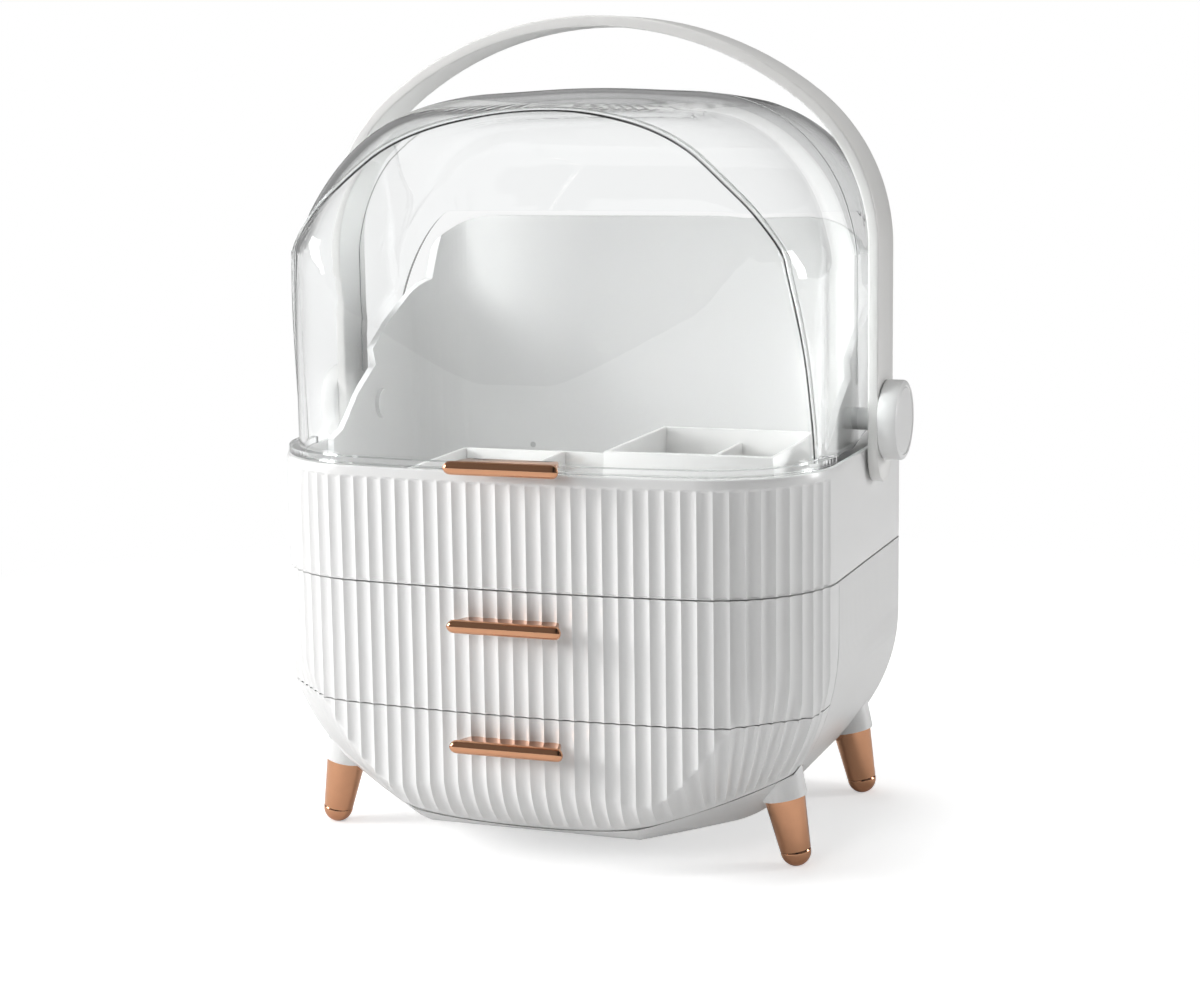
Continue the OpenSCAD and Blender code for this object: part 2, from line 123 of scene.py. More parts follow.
def white_plastic(name, colour, roughness, coat):
    """Moulded white plastic: a soft gloss that wavers a little, and a faint drift of tone."""
    material, nodes, links, shader = new_material(name)
    shader.inputs["IOR"].default_value = 1.49
    shader.inputs["Coat Weight"].default_value = coat
    shader.inputs["Coat Roughness"].default_value = 0.12
    noise = add_bump(nodes, links, shader, 900.0, 0.08, 0.0001)
    cloud = nodes.new("ShaderNodeTexNoise")
    cloud.inputs["Scale"].default_value = 14.0
    cloud.inputs["Detail"].default_value = 2.0
    links.new(noise.inputs["Vector"].links[0].from_socket, cloud.inputs["Vector"])
    tone = nodes.new("ShaderNodeMixRGB")
    tone.inputs["Color1"].default_value = (*colour, 1)
    tone.inputs["Color2"].default_value = (*[c * 0.97 for c in colour], 1)
    links.new(cloud.outputs["Fac"], tone.inputs["Fac"])
    links.new(tone.outputs["Color"], shader.inputs["Base Color"])
    gloss = nodes.new("ShaderNodeMapRange")
    gloss.inputs["To Min"].default_value = roughness - 0.04
    gloss.inputs["To Max"].default_value = roughness + 0.04
    links.new(cloud.outputs["Fac"], gloss.inputs["Value"])
    links.new(gloss.outputs["Result"], shader.inputs["Roughness"])
    return material


def rose_gold(name, colour, roughness):
    """Polished plating with a slightly uneven polish."""
    material, nodes, links, shader = new_material(name)
    shader.inputs["Metallic"].default_value = 1.0
    noise = add_bump(nodes, links, shader, 260.0, 0.05, 0.0001)
    tone = nodes.new("ShaderNodeMixRGB")
    tone.inputs["Color1"].default_value = (*colour, 1)
    tone.inputs["Color2"].default_value = (*[c * 0.93 for c in colour], 1)
    links.new(noise.outputs["Fac"], tone.inputs["Fac"])
    links.new(tone.outputs["Color"], shader.inputs["Base Color"])
    polish = nodes.new("ShaderNodeMapRange")
    polish.inputs["To Min"].default_value = roughness - 0.03
    polish.inputs["To Max"].default_value = roughness + 0.05
    links.new(noise.outputs["Fac"], polish.inputs["Value"])
    links.new(polish.outputs["Result"], shader.inputs["Roughness"])
    return material


def clear_plastic(name, tint, roughness):
    """Clear moulded plastic that lets the lamps through to what it covers."""
    material, nodes, links, shader = new_material(name)
    shader.inputs["Base Color"].default_value = (*tint, 1)
    shader.inputs["Transmission Weight"].default_value = 1.0
    shader.inputs["IOR"].default_value = 1.45
    add_bump(nodes, links, shader, 30.0, 0.03, 0.0004, detail=1.0)
    shader.inputs["Roughness"].default_value = roughness
    path = nodes.new("ShaderNodeLightPath")
    see = nodes.new("ShaderNodeBsdfTransparent")
    see.inputs["Color"].default_value = (0.96, 0.97, 0.97, 1)
    mix = nodes.new("ShaderNodeMixShader")
    links.new(path.outputs["Is Shadow Ray"], mix.inputs["Fac"])
    links.new(shader.outputs["BSDF"], mix.inputs[1])
    links.new(see.outputs["BSDF"], mix.inputs[2])
    links.new(mix.outputs["Shader"], nodes["Material Output"].inputs["Surface"])
    return material


GLOSS_WHITE = white_plastic("white_casing", (0.83, 0.83, 0.825), 0.34, 0.25)
SATIN_WHITE = white_plastic("white_inside", (0.84, 0.835, 0.825), 0.45, 0.1)
HANDLE_WHITE = white_plastic("white_handle", (0.84, 0.835, 0.82), 0.36, 0.25)
RIBBED_WHITE = white_plastic("white_ribbed_side", (0.78, 0.78, 0.775), 0.36, 0.2)


def fine_ribs(material, pitch=2.3):
    """Very faint upright lines, moulded into the casing's sides."""
    nodes, links = material.node_tree.nodes, material.node_tree.links
    place = nodes.new("ShaderNodeTexCoord")
    wave = nodes.new("ShaderNodeTexWave")
    wave.bands_direction = "Y"
    wave.inputs["Scale"].default_value = 1 / (pitch * MM * 20 / (2 * math.pi))
    ribs = nodes.new("ShaderNodeBump")
    ribs.inputs["Strength"].default_value = 0.25
    ribs.inputs["Distance"].default_value = 0.00025
    shader = nodes["Principled BSDF"]
    old = shader.inputs["Normal"].links[0].from_socket
    links.new(place.outputs["Object"], wave.inputs["Vector"])
    links.new(wave.outputs["Fac"], ribs.inputs["Height"])
    links.new(old, ribs.inputs["Normal"])
    links.new(ribs.outputs["Normal"], shader.inputs["Normal"])


fine_ribs(RIBBED_WHITE)
GOLD = rose_gold("rose_gold", (0.74, 0.38, 0.22), 0.09)
CLEAR = clear_plastic("clear_lid", (0.985, 0.99, 0.99), 0.01)
STEEL = rose_gold("screw_steel", (0.6, 0.6, 0.6), 0.3)


# ---------------------------------------------------------------- piece helpers
def finish_piece(obj, body, material, stands_for=()):
    obj.data.materials.clear()
    obj.data.materials.append(material)
    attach(obj, body)
    if stands_for:
        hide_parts(*stands_for)
    return obj


def smooth(mesh, sharp_degrees=32):
    mesh.shade_smooth()
    mesh.set_sharp_from_angle(angle=math.radians(sharp_degrees))


def mesh_object(name, points, faces, sharp_degrees=32):
    """An object from points in millimetres."""
    mesh = bpy.data.meshes.new(name)
    mesh.from_pydata([tuple(c * MM for c in p) for p in points], [], faces)
    mesh.update()
    smooth(mesh, sharp_degrees)
    obj = bpy.data.objects.new(name, mesh)
    bpy.context.scene.collection.objects.link(obj)
    return obj


def settle(obj, merge=0.0, recalc=False, sharp_degrees=32, flats=False):
    """Puts modifiers into the mesh, merges what touches and turns the faces outwards."""
    graph = bpy.context.evaluated_depsgraph_get()
    mesh = bpy.data.meshes.new_from_object(obj.evaluated_get(graph))
    obj.modifiers.clear()
    work = bmesh.new()
    work.from_mesh(mesh)
    if merge:
        bmesh.ops.remove_doubles(work, verts=work.verts, dist=merge * MM)
    if flats:
        bmesh.ops.dissolve_limit(work, angle_limit=math.radians(FLAT_DEGREES), verts=work.verts, edges=work.edges)
    if recalc:
        bmesh.ops.recalc_face_normals(work, faces=work.faces)
    work.to_mesh(mesh)
    work.free()
    obj.data = mesh
    smooth(mesh, sharp_degrees)
    return obj


def bevel(obj, width, segments=2, angle=40):
    step = obj.modifiers.new("edge", "BEVEL")
    step.width = width * MM
    step.segments = segments
    step.limit_method = "ANGLE"
    step.angle_limit = math.radians(angle)
    return obj


def join_objects(name, parts):
    """One mesh from several."""
    work = bmesh.new()
    for part in parts:
        work.from_mesh(part.data)
    mesh = bpy.data.meshes.new(name)
    work.to_mesh(mesh)
    work.free()
    for part in parts:
        bpy.data.objects.remove(part)
    smooth(mesh)
    obj = bpy.data.objects.new(name, mesh)
    bpy.context.scene.collection.objects.link(obj)
    return obj


def smooth_copy(node, body, material, sharp_degrees=28, edge=0.0):
    """A CAD node's own shape with its triangles joined, so that round walls shade smoothly."""
    obj = bpy.data.objects.new(node + "_smooth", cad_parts[node].data.copy())
    bpy.context.scene.collection.objects.link(obj)
    settle(obj, merge=0.002, sharp_degrees=sharp_degrees, flats=True)
    if edge:
        bevel(obj, edge)
        settle(obj, sharp_degrees=sharp_degrees)
    return finish_piece(obj, body, material, (node,))


def grid_faces(rows, cols, closed=False, start=0, flip=False):
    """Quads of a grid of points stored row by row."""
    faces = []
    for r in range(rows - 1):
        here, below = start + r * cols, start + (r + 1) * cols
        for c in range(cols if closed else cols - 1):
            d = (c + 1) % cols
            quad = (here + c, here + d, below + d, below + c)
            faces.append(quad[::-1] if flip else quad)
    return faces


def loft(name, loops, sharp_degrees=32):
    """A skin through closed loops of equal length, with a fan of triangles over the first and the last."""
    cols = len(loops[0])
    points = [p for loop in loops for p in loop]
    faces = grid_faces(len(loops), cols, closed=True)
    for at, flip in ((0, True), (len(loops) - 1, False)):
        points.append(tuple(np.mean(np.array(loops[at]), axis=0)))
        hub = len(points) - 1
        for c in range(cols):
            pair = (at * cols + c, at * cols + (c + 1) % cols)
            faces.append((pair[1], pair[0], hub) if flip else (pair[0], pair[1], hub))
    obj = mesh_object(name, points, faces, sharp_degrees)
    return settle(obj, merge=0.001, recalc=True, sharp_degrees=sharp_degrees)


def ring(centre, side, other, radius, angles):
    """Points of a circle about centre, in the plane of side and other."""
    return [tuple(centre + (side * math.cos(a) + other * math.sin(a)) * radius) for a in angles]


def revolve(name, profile, origin, axis, steps=56, sharp_degrees=32):
    """A turned piece: profile is (distance along axis, radius), in millimetres."""
    along = Vector(axis).normalized()
    side = along.orthogonal().normalized()
    other = along.cross(side)
    angles = [2 * math.pi * i / steps for i in range(steps)]
    loops = [ring(Vector(origin) + along * distance, side, other, radius, angles) for distance, radius in profile]
    return loft(name, loops, sharp_degrees=sharp_degrees)


def bead(name, path, radius, sides=10):
    """A round bead along an open path of points."""
    path = [Vector(p) for p in path]
    angles = np.linspace(0, 2 * math.pi, sides, endpoint=False)
    loops = []
    for i, p in enumerate(path):
        along = (path[min(i + 1, len(path) - 1)] - path[max(i - 1, 0)]).normalized()
        up = Vector((0, 1, 0)) if abs(along.y) < 0.9 else Vector((0, 0, 1))
        side = along.cross(up).normalized()
        loops.append(ring(p, side, along.cross(side), radius, angles))
    return loft(name, loops, sharp_degrees=60)


# ---------------------------------------------------------------- the casing's outline
def outline(arc, inset=0.0):
    """Point and outward normal on the plan outline, arc millimetres right of the middle of the front."""
    s, right = abs(arc), 1 if arc >= 0 else -1
    if s <= BOW_ARC:
        a = s / BOW_R
        nx, ny = math.sin(a), -math.cos(a)
        x, y = BOW_R * math.sin(a), BOW_CY - BOW_R * math.cos(a)
    elif s <= SIDE_ARC:
        a = BOW_ANGLE + (s - BOW_ARC) / CORNER_R
        nx, ny = math.sin(a), -math.cos(a)
        x, y = CORNER_X + CORNER_R * nx, CORNER_Y + CORNER_R * ny
    else:
        x, y, nx, ny = HALF_W, CORNER_Y + s - BOW_ARC - CORNER_ARC, 1.0, 0.0
        turn = y - (BACK_Y - REAR_R)
        if turn > 0:
            a = min(turn / REAR_R, math.pi / 2)
            nx, ny = math.cos(a), math.sin(a)
            x, y = HALF_W - REAR_R + REAR_R * nx, BACK_Y - REAR_R + REAR_R * ny
            x -= max(turn - REAR_R * math.pi / 2, 0.0)
    return right * (x - nx * inset), y - ny * inset, right * nx, ny


def side_height(x):
    """Height of the underside seen from the front, at x."""
    x = min(abs(x), HALF_W)
    for start, centre_x, centre_z, radius in UNDERSIDE_ARCS:
        if x > start:
            return centre_z - math.sqrt(max(radius**2 - (x - centre_x) ** 2, 0.0))


def front_height(y):
    """Height of the underside seen from the side, at y."""
    if y >= FRONT_Y + FRONT_ROUND:
        return BASE_Z
    return BASE_Z + FRONT_ROUND - math.sqrt(max(FRONT_ROUND**2 - (FRONT_Y + FRONT_ROUND - y) ** 2, 0.0))


def sweep_height(x, y):
    """Height of the diagonal rounding under the front corners."""
    out = (abs(x) - y) * math.sqrt(0.5) - SWEEP_X
    return SWEEP_CZ - math.sqrt(max(SWEEP_R**2 - out**2, 0.0)) if out > 0 else SWEEP_CZ - SWEEP_R


def underside(x, y):
    """Height of the underside, its three roundings blended except near the top and the split."""
    heights = (side_height(x), front_height(y), sweep_height(x, y))
    top = max(heights)
    lift = UNDER_BLEND * math.log(sum(math.exp((h - top) / UNDER_BLEND) for h in heights))
    by_height = min(max((UNDER_BLEND_TOP - top) / UNDER_BLEND_FADE, 0.0), 1.0)
    by_depth = min(max((SPLIT_Y - y) / UNDER_BLEND_FADE, 0.0), 1.0)
    return top + lift * by_height * by_depth


def pan_height(x):
    """Height of the arc between the lower drawer's front and the fixed pan under it."""
    return PAN_LOW + PAN_R - math.sqrt(PAN_R**2 - x * x)


def between(first, second, share):
    return tuple(p + (q - p) * share for p, q in zip(first, second))


def wall_column(arc, top, bottom, rows, inset=0.0, rise=0.0):
    """Points down the wall at one place on the outline, evenly spaced, to the height bottom or to the pan's arc."""
    x, y, _, _ = outline(arc, inset)
    low = underside(x, y) + rise
    trail = [(x, y, top)] if low < top else []
    last = (x, y, low)
    if trail and bottom >= low:
        trail.append((x, y, bottom))
    else:
        if trail:
            trail.append(last)
        for step in range(1, WALL_STEPS):
            px, py, _, _ = outline(arc, inset + step * WALL_STEP)
            here = (px, py, underside(px, py) + rise)
            limit = max(bottom, pan_height(px) + PAN_GAP) if bottom < PAN_LOW else bottom
            if not trail and here[2] <= top:
                trail.append(between(last, here, (last[2] - top) / max(last[2] - here[2], 1e-6)))
            if trail and here[2] <= limit:
                share = (trail[-1][2] - limit) / max(trail[-1][2] - here[2], 1e-6)
                trail.append(between(trail[-1], here, min(max(share, 0.0), 1.0)))
                break
            if trail:
                trail.append(here)
            last = here
    trail = np.array(trail)
    steps = np.r_[0, np.cumsum(np.linalg.norm(np.diff(trail, axis=0), axis=1))]
    at = np.linspace(0, steps[-1], rows)
    return np.column_stack([np.interp(at, steps, trail[:, k]) for k in range(3)])


def flute_arcs(end):
    """Places across the front: several to each flute, then a few over the smooth edge."""
    fluted = np.linspace(-FLUTE_END, FLUTE_END, 2 * FLUTES_A_SIDE * FLUTE_STEPS + 1)
    tail = np.linspace(FLUTE_END, end, 6)[1:]
    return np.r_[-tail[::-1], fluted, tail]


# ---------------------------------------------------------------- fluting by geometry nodes
def fluting_tree():
    """Presses shallow hollows into a wall.

    Each vertex knows its place across the flutes, its outward way and how deep it may go.
    """
    tree = bpy.data.node_groups.new("fluting", "GeometryNodeTree")
    interface = tree.interface
    interface.new_socket("Geometry", in_out="INPUT", socket_type="NodeSocketGeometry")
    for label, value in (("Pitch", PITCH * MM), ("Depth", FLUTE_DEPTH * MM)):
        interface.new_socket(label, in_out="INPUT", socket_type="NodeSocketFloat").default_value = value
    interface.new_socket("Material", in_out="INPUT", socket_type="NodeSocketMaterial")
    interface.new_socket("Geometry", in_out="OUTPUT", socket_type="NodeSocketGeometry")
    nodes, links = tree.nodes, tree.links
    given, result = nodes.new("NodeGroupInput"), nodes.new("NodeGroupOutput")

    def attribute(label, kind):
        node = nodes.new("GeometryNodeInputNamedAttribute")
        node.data_type = kind
        node.inputs["Name"].default_value = label
        return node.outputs[0]

    def maths(operation, first, second=None):
        node = nodes.new("ShaderNodeMath")
        node.operation = operation
        for socket, value in zip(node.inputs, (first, second)):
            if value is None:
                continue
            if isinstance(value, (int, float)):
                socket.default_value = value
            else:
                links.new(value, socket)
        return node.outputs[0]

    across = maths("FRACT", maths("DIVIDE", attribute("flute_arc", "FLOAT"), given.outputs["Pitch"]))
    hollow = maths("MULTIPLY", maths("MULTIPLY", across, maths("SUBTRACT", 1.0, across)), 4.0)
    amount = maths("MULTIPLY", maths("MULTIPLY", hollow, given.outputs["Depth"]), attribute("flute_fade", "FLOAT"))
    scale = nodes.new("ShaderNodeVectorMath")
    scale.operation = "SCALE"
    links.new(attribute("flute_out", "FLOAT_VECTOR"), scale.inputs[0])
    links.new(maths("MULTIPLY", amount, -1.0), scale.inputs["Scale"])
    move = nodes.new("GeometryNodeSetPosition")
    links.new(given.outputs["Geometry"], move.inputs["Geometry"])
    links.new(scale.outputs[0], move.inputs["Offset"])
    realize = nodes.new("GeometryNodeRealizeInstances")
    links.new(move.outputs["Geometry"], realize.inputs["Geometry"])
    paint = nodes.new("GeometryNodeSetMaterial")
    links.new(realize.outputs["Geometry"], paint.inputs["Geometry"])
    links.new(given.outputs["Material"], paint.inputs["Material"])
    links.new(paint.outputs["Geometry"], result.inputs["Geometry"])
    return tree


FLUTING = fluting_tree()


def press_flutes(obj, arcs, fades, outs, material):
    """Stores each vertex's place, fade and outward way, and runs the fluting on them."""
    layers = (("flute_arc", "FLOAT", arcs), ("flute_fade", "FLOAT", fades), ("flute_out", "FLOAT_VECTOR", outs))
    for label, kind, values in layers:
        layer = obj.data.attributes.new(label, kind, "POINT")
        flat = np.array(values, np.float32).ravel()
        layer.data.foreach_set("vector" if kind == "FLOAT_VECTOR" else "value", flat)
    step = obj.modifiers.new("fluting", "NODES")
    step.node_group = FLUTING
    sockets = {s.name: s.identifier for s in FLUTING.interface.items_tree if s.in_out == "INPUT"}
    step[sockets["Pitch"]] = PITCH * MM
    step[sockets["Depth"]] = FLUTE_DEPTH * MM
    step[sockets["Material"]] = material
    settle(obj, merge=0.001, recalc=True, sharp_degrees=24)
    for label, _, _ in layers:
        layer = obj.data.attributes.get(label)
        if layer:
            obj.data.attributes.remove(layer)
    return obj


UP = (0.0, 0.0, 1.0)


def fluted_front(name, top, bottom, rows, fade_rows, body, node):
    """A drawer front: a fluted skin that wraps the corners, its plain inner side and the edges between."""
    places = flute_arcs(DRAWER_END)
    cols, size = len(places), rows * len(places)
    outer = [wall_column(arc, top, bottom, rows) for arc in places]
    inner = [wall_column(arc, top, bottom, rows, WALL, INNER_RISE) for arc in places]
    points, fades, outs = [], [], []
    for r in range(rows):
        fade = min((rows - 1 - r) / fade_rows, 1.0) if fade_rows else 1.0
        for c, arc in enumerate(places):
            points.append(outer[c][r])
            down = Vector(outer[c][min(r + 1, rows - 1)] - outer[c][max(r - 1, 0)]).normalized()
            _, _, nx, ny = outline(arc)
            out = Vector((-ny, nx, 0)).cross(-down)
            if out.dot(Vector((nx, ny, 0))) < 0:
                out = -out
            fades.append(fade if abs(arc) <= FLUTE_END else 0.0)
            outs.append(tuple(out))
    points += [inner[c][r] for r in range(rows) for c in range(cols)]
    arcs = [arc * MM for arc in places] * rows + [0.0] * size
    faces = grid_faces(rows, cols) + grid_faces(rows, cols, start=size, flip=True)
    low, far = (rows - 1) * cols, cols - 1
    for c in range(cols - 1):
        faces.append((c, c + 1, size + c + 1, size + c))
        faces.append((low + c + 1, low + c, size + low + c, size + low + c + 1))
    for r in range(rows - 1):
        here, below = r * cols, (r + 1) * cols
        faces.append((here, size + here, size + below, below))
        faces.append((here + far, below + far, size + below + far, size + here + far))
    obj = mesh_object(name, points, faces)
    press_flutes(obj, arcs, fades + [0.0] * size, outs + [UP] * size, GLOSS_WHITE)
    return finish_piece(obj, body, GLOSS_WHITE, (node,))


upper_front = (SEAM1_Z - HALF_GAP, SEAM2_Z + HALF_GAP, 8, 0)
lower_front = (SEAM2_Z - HALF_GAP, 10.0, 34, 4)
fluted_front("upper_drawer_front", *upper_front, "drawer_upper", "drawer_upper_front")
fluted_front("lower_drawer_front", *lower_front, "drawer_lower", "drawer_lower_front")

TRAY_LOW = SEAM1_Z + HALF_GAP
TRAY_FLOOR = 129.0
# (inset, height, share of the flutes' depth) up the outside, over the rim and down the inside to the floor
TRAY_PROFILE = (
    (0.8, TRAY_LOW, 0),
    (0.15, TRAY_LOW + 0.2, 0),
    (0, TRAY_LOW + 0.9, 1),
    (0, TRAY_LOW + 16, 1),
    (0, TRAY_LOW + 32, 1),
    (0, 171.6, 1),
    (0, 172.4, 0.55),
    (0, 172.9, 0),
    (0, 173.4, 0),
    (0, 176.2, 0),
    (0.25, 176.8, 0),
    (0.8, RIM_Z, 0),
    (1.9, RIM_Z, 0),
    (2.35, 176.7, 0),
    (2.5, 176.2, 0),
    (2.5, 131.0, 0),
    (3.2, 129.4, 0),
    (4.5, TRAY_FLOOR, 0),
)


def fluted_tray():
    """The tray: one closed wall with flutes over the front, a plain rim, and a floor."""
    along_side = np.linspace(SIDE_ARC, SIDE_ARC + 112, 10)[1:]
    round_corner = np.linspace(SIDE_ARC + 113, SIDE_ARC + 135, 12)
    along_back = np.linspace(SIDE_ARC + 140, REAR_END, 14)
    back = np.r_[along_side, round_corner, along_back]
    places = np.r_[-back[::-1][1:], flute_arcs(SIDE_ARC), back]
    points, arcs, fades, outs = [], [], [], []
    for inset, z, fade in TRAY_PROFILE:
        for arc in places:
            x, y, nx, ny = outline(arc, inset)
            points.append((x, y, z))
            arcs.append(arc * MM)
            fades.append(fade if abs(arc) <= FLUTE_END else 0.0)
            outs.append((nx, ny, 0.0))
    cols, rows = len(places), len(TRAY_PROFILE)
    faces = grid_faces(rows, cols, closed=True)
    for at, z, flip in ((0, TRAY_LOW, True), (rows - 1, TRAY_FLOOR, False)):
        points.append((0, 5, z))
        for c in range(cols):
            pair = (at * cols + c, at * cols + (c + 1) % cols)
            faces.append((*(pair[::-1] if flip else pair), len(points) - 1))
    obj = mesh_object("fluted_tray", points, faces)
    press_flutes(obj, arcs + [0.0, 0.0], fades + [0.0, 0.0], outs + [UP, UP], GLOSS_WHITE)
    return finish_piece(obj, "casing", GLOSS_WHITE, ("top_tray",))


fluted_tray()

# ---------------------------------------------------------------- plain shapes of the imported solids, smoothed
for node, body, material, edge in (
    ("lower_casing", "casing", RIBBED_WHITE, 0),
    ("base_pan", "casing", GLOSS_WHITE, 0),
    ("mid_shelf", "casing", GLOSS_WHITE, 0),
    ("drawer_runners", "casing", GLOSS_WHITE, 0),
    ("leg_collars", "casing", GLOSS_WHITE, 0),
    ("pivot_pin_right", "casing", GLOSS_WHITE, 0),
    ("pivot_pin_left", "casing", GLOSS_WHITE, 0),
    ("tray_divider_long", "casing", SATIN_WHITE, 0.4),
    ("tray_divider_cross", "casing", SATIN_WHITE, 0.4),
    ("tray_divider_short", "casing", SATIN_WHITE, 0.4),
    ("drawer_upper_box", "drawer_upper", SATIN_WHITE, 0),
    ("drawer_lower_box", "drawer_lower", SATIN_WHITE, 0),
    ("compartment_insert", "insert", SATIN_WHITE, 0.4),
    ("insert_divider", "insert", SATIN_WHITE, 0.4),
    ("rear_shell", "casing", GLOSS_WHITE, 0),
):
    smooth_copy(node, body, material, edge=edge)
smooth_copy("shell_screws", "casing", STEEL)
smooth_copy("lid_sill", "lid", CLEAR)

# ---------------------------------------------------------------- legs
LEG_X = 111.0
LEG_YS = {"front": -35.0, "rear": 84.0}
LEG_TIP_Z = 6.6
LEG_LEAN = math.radians(11.8)
LEG_PROFILE = [(0.55, 6.2), (0.6, 6.75), (1.0, 6.85), (24.0, 9.0), (25.5, 9.05), (25.6, 6.0)]
TIP_R = 6.8
TIP_PROFILE = [(0.45, 6.0), (0.4, 6.62), (0.0, TIP_R)]
TIP_PROFILE += [(-TIP_R * math.sin(a), TIP_R * math.cos(a)) for a in np.radians(np.linspace(6, 84, 12))]
TIP_PROFILE += [(-6.79, 0.3)]


def turned_leg(name, profile, side, y):
    """A piece turned about the line of one leg, which leans inwards from its tip."""
    lean = (-side * math.sin(LEG_LEAN), 0, math.cos(LEG_LEAN))
    return revolve(name, profile, (side * LEG_X, y, LEG_TIP_Z), lean)


for end, side_name, side in (("front", "right", 1), ("front", "left", -1), ("rear", "right", 1), ("rear", "left", -1)):
    node = f"leg_{end}_{side_name}"
    leg = turned_leg("gold_" + node, LEG_PROFILE, side, LEG_YS[end])
    finish_piece(leg, "casing", GOLD, (node,))


def make_tips():
    """The four round tips, flattened where they stand on the floor."""
    tips = []
    for side in (-1, 1):
        for y in LEG_YS.values():
            tip = turned_leg(f"tip_{side}_{y}", TIP_PROFILE, side, y)
            for v in tip.data.vertices:
                v.co.z = max(v.co.z, 0.0)
            tips.append(tip)
    return join_objects("gold_tips", tips)


finish_piece(make_tips(), "casing", GOLD, ("leg_tips",))

# ---------------------------------------------------------------- pulls
PULL_Y = -98.5
PULL_PLATE = 1.8
PULL_BAR_DROP = 2.2
PULL_BAR_R = 3.0
PULL_BAR_DEEP = 3.2
PULL_BAR_FLAT = 22.8
PULL_BAR_END = 3.2
PULL_STATIONS = (-26, -25.8, -25.2, -24.2, -22.8, -12, 0, 12, 22.8, 24.2, 25.2, 25.8, 26)


def pull_bar(name, plate_z):
    """The crowned front bar, shrinking to rounded ends."""
    bar_mid = plate_z + PULL_PLATE - PULL_BAR_DROP
    section = []
    for a in np.radians(np.linspace(-90, 90, 15)):
        section.append((PULL_Y + 2.6 - 2.6 * math.cos(a), bar_mid + PULL_BAR_R * math.sin(a)))
    section += [(PULL_Y + PULL_BAR_DEEP, bar_mid + 2.7), (PULL_Y + PULL_BAR_DEEP, bar_mid - 2.7)]
    middle = np.mean(np.array(section), axis=0)
    loops = []
    for x in PULL_STATIONS:
        gone = max(0.0, (abs(x) - PULL_BAR_FLAT) / PULL_BAR_END)
        grow = math.sqrt(max(1 - gone**2.4, 0.02))
        deep = max(grow, 0.35)
        loops.append([(x, middle[0] + (p - middle[0]) * deep, middle[1] + (q - middle[1]) * grow) for p, q in section])
    return loft(name, loops)


def make_pull(name, plate_z, back_y, half_back, body, node, notches=False):
    """A finger pull: a tapered plate and the bar along its front."""
    bar = pull_bar(name + "_bar", plate_z)
    front, wide = PULL_Y + 1.6, half_back + 2.2
    cut = [(-half_back, back_y), (half_back, back_y), (wide, back_y - 5.0)]
    cut += [(24.6, front), (-24.6, front), (-wide, back_y - 5.0)]
    if notches:
        step = back_y - 1.8
        back = [(-18.5, back_y), (-17.5, step), (-14.5, step), (-13.5, back_y)]
        cut = [cut[0], *back, *[(-x, y) for x, y in back[::-1]], *cut[1:]]
    plate = loft(name + "_plate", [[(x, y, z) for x, y in cut] for z in (plate_z, plate_z + PULL_PLATE)])
    bevel(plate, 0.45, 2)
    settle(plate)
    return finish_piece(join_objects(name, [bar, plate]), body, GOLD, (node,))


make_pull("gold_pull_upper", 112.0, -84.6, 20.5, "drawer_upper", "drawer_upper_pull")
make_pull("gold_pull_lower", 59.0, -84.6, 20.5, "drawer_lower", "drawer_lower_pull")
make_pull("gold_pull_lid", RIM_Z + 0.6 + 3.0, -82.0, 20.5, "lid", "lid_pull", notches=True)

# ---------------------------------------------------------------- handle
HANDLE_TOP = 370.0
HANDLE_HALF = 134.0
HANDLE_T = 5.0
HANDLE_R = 88.0
HANDLE_CZ = 266.0
HANDLE_EDGE = 0.9
STRAP_HALF = 14.0
HANDLE_CX = HANDLE_HALF - HANDLE_R
CROWN_R = (HANDLE_CX**2 + (HANDLE_TOP - HANDLE_CZ) ** 2 - HANDLE_R**2) / (2 * (HANDLE_TOP - HANDLE_CZ - HANDLE_R))
CROWN_CZ = HANDLE_TOP - CROWN_R
CROWN_ANGLE = math.atan2(HANDLE_CX, HANDLE_CZ - CROWN_CZ)


def handle_path():
    """Points up the right leg, over the arch and down the left, with the outward way at each."""
    low = PIVOT[1] - 2 * STRAP_HALF
    foot = low + STRAP_HALF * (1 - np.cos(np.linspace(0.02, math.pi / 2, 9)))
    right = [((HANDLE_HALF, z), (1.0, 0.0)) for z in np.r_[foot, np.linspace(PIVOT[1] - 10, HANDLE_CZ, 8)]]
    for a in np.linspace(0, math.pi / 2 - CROWN_ANGLE, 26)[1:]:
        way = (math.cos(a), math.sin(a))
        right.append(((HANDLE_CX + HANDLE_R * way[0], HANDLE_CZ + HANDLE_R * way[1]), way))
    for a in np.linspace(CROWN_ANGLE, 0, 16)[1:]:
        way = (math.sin(a), math.cos(a))
        right.append(((CROWN_R * way[0], CROWN_CZ + CROWN_R * way[1]), way))
    left = [((-p[0], p[1]), (-n[0], n[1])) for p, n in right[:-1]]
    return right + left[::-1]


def make_handle():
    """The strap bent along its path, with rounded edges and a round foot below each disc."""
    half, thick, r = STRAP_HALF - HANDLE_EDGE, -HANDLE_T + HANDLE_EDGE, HANDLE_EDGE
    section = []
    for cy, cn, a0 in ((half, -r, 0), (half, thick, -90), (-half, thick, -180), (-half, -r, -270)):
        for a in np.radians(np.linspace(a0 + 90, a0, 5)):
            section.append((cy + r * math.cos(a), cn + r * math.sin(a)))
    loops = []
    for (x, z), (nx, nz) in handle_path():
        drop = (PIVOT[1] - STRAP_HALF) - z
        wide = math.sqrt(max(1 - (drop / STRAP_HALF) ** 2, 0.001)) if drop > 0 else 1.0
        loops.append([(x + nx * n, PIVOT[0] + y * wide, z + nz * n) for y, n in section])
    return finish_piece(loft("white_handle", loops), "handle", HANDLE_WHITE, ("handle_bail",))


make_handle()

